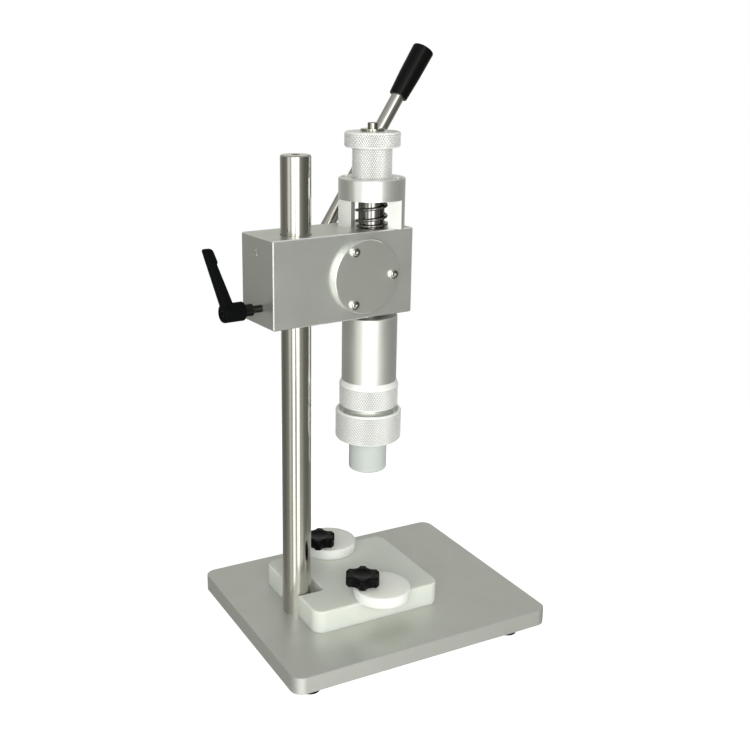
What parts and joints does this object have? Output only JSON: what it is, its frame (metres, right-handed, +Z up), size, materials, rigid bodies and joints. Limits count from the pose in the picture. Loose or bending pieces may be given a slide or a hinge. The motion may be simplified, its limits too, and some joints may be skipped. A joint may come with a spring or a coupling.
{
  "type": "perfume capping machine",
  "caption": "Hand-lever bench press that pushes caps and pumps onto perfume bottles, with a sliding head on a column, a sprung ram and a locating jig.",
  "frame": {"origin": "on the floor under the middle of the base plate", "axes": "+Z up along the column, -Y towards the operator, +X towards the lever side"},
  "size_m": [0.2, 0.2825, 0.5076],
  "materials": {
    "blasted_aluminium": "fine bead-blasted, bright bevels",
    "rubber": "matt moulded",
    "screw_steel": "turned stainless",
    "column_steel": "ground stainless bar",
    "black_steel": "blackened",
    "white_nylon": "milky, machined",
    "brass": "turned",
    "disc_nylon": "translucent, turned",
    "black_plastic": "moulded, semi-gloss",
    "bronze": "turned bearing bronze",
    "block_aluminium": "brushed, bright bevels",
    "cover_aluminium": "brushed disc",
    "turned_aluminium": "satin, turned",
    "spring_steel": "oiled spring wire",
    "ram_steel": "ground",
    "lever_steel": "turned stainless",
    "grip_plastic": "moulded, polished",
    "knurled_aluminium": "diamond knurl",
    "black_casting": "black textured powder coat"
  },
  "bodies": {
    "root": {"base_plate": "blasted_aluminium", "rubber_feet": "rubber", "foot_screws": "screw_steel", "column": "column_steel", "column_screw": "black_steel", "jig_plate": "white_nylon", "jig_screws": "black_steel", "knob_inserts": "brass"},
    "left_disc": {"left_locator_disc": "disc_nylon"},
    "right_disc": {"right_locator_disc": "disc_nylon"},
    "left_knob": {"left_star_knob": "black_plastic", "left_knob_stud": "screw_steel"},
    "right_knob": {"right_star_knob": "black_plastic", "right_knob_stud": "screw_steel"},
    "column_bush": {"column_bush": "bronze"},
    "head": {"head_block": "block_aluminium", "bush_circlip": "black_steel", "drag_screw": "black_steel", "front_shaft_bush": "bronze", "rear_shaft_bush": "bronze", "lower_guide_bush": "bronze", "upper_guide_bush": "bronze", "shaft_cover": "cover_aluminium", "cover_screws": "screw_steel", "rear_flange": "cover_aluminium", "rear_flange_screws": "screw_steel", "guide_cage": "turned_aluminium", "cage_screws": "black_steel", "return_spring": "spring_steel"},
    "lever": {"pinion_shaft": "ram_steel", "lever_hub": "turned_aluminium", "hub_set_screw": "black_steel", "lever_rod": "lever_steel", "lever_grip": "grip_plastic", "shaft_end_washer": "screw_steel", "shaft_end_screw": "screw_steel"},
    "ram": {"ram_shaft": "ram_steel", "press_tube": "turned_aluminium", "tube_set_screw": "black_steel", "press_head": "white_nylon", "knob_washer": "screw_steel", "cap_screw": "screw_steel"},
    "sleeve": {"knurled_sleeve": "knurled_aluminium"},
    "nut": {"holder_nut": "knurled_aluminium"},
    "neck": {"adjusting_sleeve": "knurled_aluminium"},
    "stroke_knob": {"stroke_knob": "knurled_aluminium"},
    "clamp_stud": {"clamp_stud": "black_steel", "clamp_screw": "black_steel"},
    "clamp_handle": {"clamp_handle": "black_casting"}
  },
  "joints": [
    {"name": "head_height", "type": "slide", "parent": "root", "child": "column_bush", "axis": [0, 0, 1], "range_m": [-0.04, 0.05]},
    {"name": "head_swivel", "type": "hinge", "parent": "column_bush", "child": "head", "pos_m": [0, 0.075, 0.286], "axis": [0, 0, 1], "range_deg": [-30, 30]},
    {"name": "lever_pull", "type": "hinge", "parent": "head", "child": "lever", "pos_m": [0.07139, 0.02709, 0.322], "axis": [0.9973, 0.0731, 0], "range_deg": [0, 117.93]},
    {"name": "ram_stroke", "type": "slide", "parent": "head", "child": "ram", "axis": [0, 0, -1], "range_m": [0, 0.0247], "stiffness_N_per_m": 1500, "springref_m": -0.03, "deforming": ["return_spring"]},
    {"name": "sleeve_turn", "type": "hinge", "parent": "ram", "child": "sleeve", "pos_m": [0.00533, 0.00219, 0.286], "axis": [0, 0, 1], "range_deg": [-180, 180]},
    {"name": "nut_turn", "type": "hinge", "parent": "ram", "child": "nut", "pos_m": [0.00533, 0.00219, 0.286], "axis": [0, 0, 1], "range_deg": [-180, 180]},
    {"name": "neck_turn", "type": "hinge", "parent": "ram", "child": "neck", "pos_m": [0.00533, 0.00219, 0.286], "axis": [0, 0, 1], "range_deg": [-180, 180]},
    {"name": "stroke_knob_turn", "type": "hinge", "parent": "ram", "child": "stroke_knob", "pos_m": [0.00533, 0.00219, 0.286], "axis": [0, 0, 1], "range_deg": [-180, 180]},
    {"name": "clamp_turn", "type": "hinge", "parent": "head", "child": "clamp_stud", "pos_m": [-0.00237, 0.10731, 0.301], "axis": [-0.0731, 0.9973, 0], "range_deg": [-60, 120]},
    {"name": "clamp_lift", "type": "slide", "parent": "clamp_stud", "child": "clamp_handle", "axis": [-0.0731, 0.9973, 0], "range_m": [0, 0.003], "stiffness_N_per_m": 600, "springref_m": -0.004},
    {"name": "left_disc_turn", "type": "hinge", "parent": "root", "child": "left_disc", "pos_m": [-0.037, 0.0295, 0.042], "axis": [0, 0, 1], "range_deg": [-90, 90]},
    {"name": "right_disc_turn", "type": "hinge", "parent": "root", "child": "right_disc", "pos_m": [0.047, 0.0295, 0.042], "axis": [0, 0, 1], "range_deg": [-90, 90]},
    {"name": "left_knob_turn", "type": "hinge", "parent": "root", "child": "left_knob", "pos_m": [-0.037, 0.0295, 0.042], "axis": [0, 0, 1], "range_deg": [-180, 180]},
    {"name": "right_knob_turn", "type": "hinge", "parent": "root", "child": "right_knob", "pos_m": [0.047, 0.0295, 0.042], "axis": [0, 0, 1], "range_deg": [-180, 180]}
  ],
  "couplings": [
    {"joint": "ram_stroke", "follows": "lever_pull", "m_per_rad": 0.012}
  ]
}
